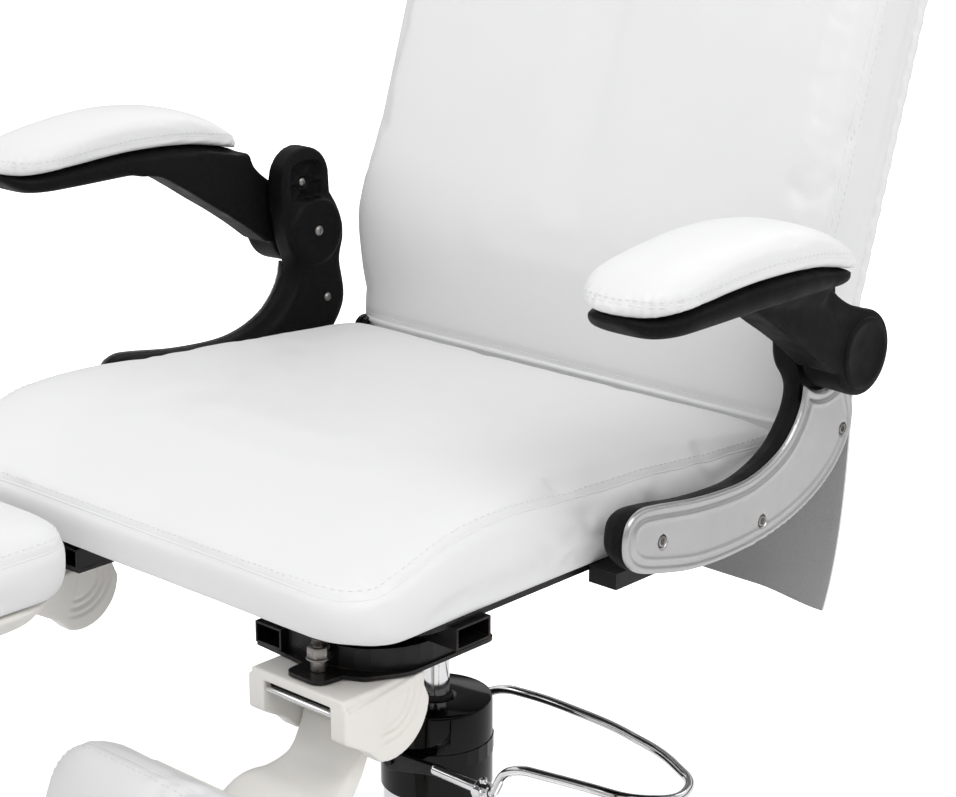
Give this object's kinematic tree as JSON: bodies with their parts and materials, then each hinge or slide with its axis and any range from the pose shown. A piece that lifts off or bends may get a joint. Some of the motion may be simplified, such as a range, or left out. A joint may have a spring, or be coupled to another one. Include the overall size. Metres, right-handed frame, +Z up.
{
  "type": "pedicure and styling chair",
  "caption": "White padded hydraulic chair with folding armrests, reclining back, foot pedal and two separate swinging, tilting leg rests.",
  "frame": {"origin": "centre of the round base on the floor, on the axis of the lifting column", "axes": "+Z up, -Y the way the sitter faces, +X the sitter's left"},
  "size_m": [0.766, 1.2431, 1.3409],
  "materials": {
    "black_paint": "semi-gloss black paint",
    "black_gloss": "high-gloss black paint",
    "black_plastic": "fine-grained moulded plastic",
    "ivory_plastic": "smooth warm white moulding",
    "silver_paint": "fine metallic silver paint",
    "chrome": "bright chrome plate",
    "steel": "zinc-plated steel",
    "rubber": "matt black rubber",
    "white_leatherette": "fine-grained white leatherette"
  },
  "bodies": {
    "base": {"base_disc": "chrome", "base_ring": "rubber", "pump_sleeve": "chrome", "pump_cover": "black_gloss", "rod_seal": "rubber", "pump_cylinder": "steel", "pedal_bracket": "black_gloss"},
    "pedal": {"pedal_yoke": "steel", "pedal_loop": "chrome"},
    "lift": {"piston_rod": "chrome"},
    "seat": {"column_socket": "black_paint", "mast_plate": "black_paint", "front_cross_tube": "black_paint", "seat_board": "black_paint", "seat_cushion": "white_leatherette", "gas_spring_clevis": "black_paint", "lever_block": "black_paint", "frame_tube_left": "black_paint", "frame_tube_right": "black_paint", "rear_cross_tube_left": "black_paint", "rear_cross_tube_right": "black_paint", "leg_plate_left": "black_paint", "leg_plate_right": "black_paint", "hinge_ear_left": "black_paint", "hinge_ear_right": "black_paint", "arm_mount_block_left": "black_paint", "arm_mount_block_right": "black_paint", "arm_bracket_left": "black_plastic", "arm_bracket_right": "black_plastic", "arm_bracket_cover_left": "silver_paint", "arm_bracket_cover_right": "silver_paint", "leg_pivot_bolt_left": "steel", "leg_pivot_bolt_right": "steel", "recline_bolt_left": "steel", "recline_bolt_right": "steel"},
    "back": {"back_cushion": "white_leatherette", "back_panel": "white_leatherette", "back_crank": "black_paint", "rear_skirt": "white_leatherette", "back_hinge_arm_left": "black_paint", "back_hinge_arm_right": "black_paint"},
    "spring_body": {"gas_spring_body": "black_gloss"},
    "spring_rod": {"gas_spring_rod": "chrome"},
    "lever": {"recline_lever": "black_paint"},
    "arm_left": {"arm_body_left": "black_plastic", "arm_pad_left": "white_leatherette", "hub_pin_left": "black_plastic"},
    "leg_swing_left": {"leg_housing_left": "ivory_plastic", "leg_pitch_pin_left": "steel"},
    "leg_left": {"leg_bar_left": "black_paint", "leg_tray_left": "ivory_plastic", "leg_cushion_left": "white_leatherette"},
    "arm_right": {"arm_body_right": "black_plastic", "arm_pad_right": "white_leatherette", "hub_pin_right": "black_plastic"},
    "leg_swing_right": {"leg_housing_right": "ivory_plastic", "leg_pitch_pin_right": "steel"},
    "leg_right": {"leg_bar_right": "black_paint", "leg_tray_right": "ivory_plastic", "leg_cushion_right": "white_leatherette"}
  },
  "joints": [
    {"name": "pump_pedal", "type": "hinge", "parent": "base", "child": "pedal", "pos_m": [0, 0, 0.338], "axis": [0, 1, 0], "range_deg": [-6, 14]},
    {"name": "seat_lift", "type": "slide", "parent": "base", "child": "lift", "axis": [0, 0, 1], "range_m": [-0.03, 0.1]},
    {"name": "seat_swivel", "type": "hinge", "parent": "lift", "child": "seat", "pos_m": [0, 0, 0.55], "axis": [0, 0, 1], "continuous": true},
    {"name": "back_recline", "type": "hinge", "parent": "seat", "child": "back", "pos_m": [0, 0.165, 0.63], "axis": [-1, 0, 0], "range_deg": [-4, 66]},
    {"name": "spring_tilt", "type": "hinge", "parent": "seat", "child": "spring_body", "pos_m": [0, -0.125, 0.572], "axis": [-1, 0, 0], "range_deg": [-0.5, 2.5]},
    {"name": "spring_slide", "type": "slide", "parent": "spring_body", "child": "spring_rod", "axis": [0, 0.9999, 0.0167], "range_m": [-0.07, 0.01]},
    {"name": "recline_release", "type": "hinge", "parent": "seat", "child": "lever", "pos_m": [-0.236, 0.06, 0.577], "axis": [-1, 0, 0], "range_deg": [0, 14]},
    {"name": "arm_fold_left", "type": "hinge", "parent": "seat", "child": "arm_left", "pos_m": [0.34, 0.127, 0.727], "axis": [-1, 0, 0], "range_deg": [0, 95]},
    {"name": "leg_swing_left", "type": "hinge", "parent": "seat", "child": "leg_swing_left", "pos_m": [0.175, -0.302, 0.55], "axis": [0, 0, 1], "range_deg": [0, 22]},
    {"name": "leg_pitch_left", "type": "hinge", "parent": "leg_swing_left", "child": "leg_left", "pos_m": [0.175, -0.282, 0.529], "axis": [1, 0, 0], "range_deg": [-68, 5]},
    {"name": "arm_fold_right", "type": "hinge", "parent": "seat", "child": "arm_right", "pos_m": [-0.34, 0.127, 0.727], "axis": [-1, 0, 0], "range_deg": [0, 95]},
    {"name": "leg_swing_right", "type": "hinge", "parent": "seat", "child": "leg_swing_right", "pos_m": [-0.175, -0.302, 0.55], "axis": [0, 0, -1], "range_deg": [0, 22]},
    {"name": "leg_pitch_right", "type": "hinge", "parent": "leg_swing_right", "child": "leg_right", "pos_m": [-0.175, -0.282, 0.529], "axis": [1, 0, 0], "range_deg": [0, 73]}
  ],
  "couplings": [
    {"joint": "spring_tilt", "follows": "back_recline", "ratio": 0.0304},
    {"joint": "spring_slide", "follows": "back_recline", "m_per_rad": -0.0581}
  ]
}
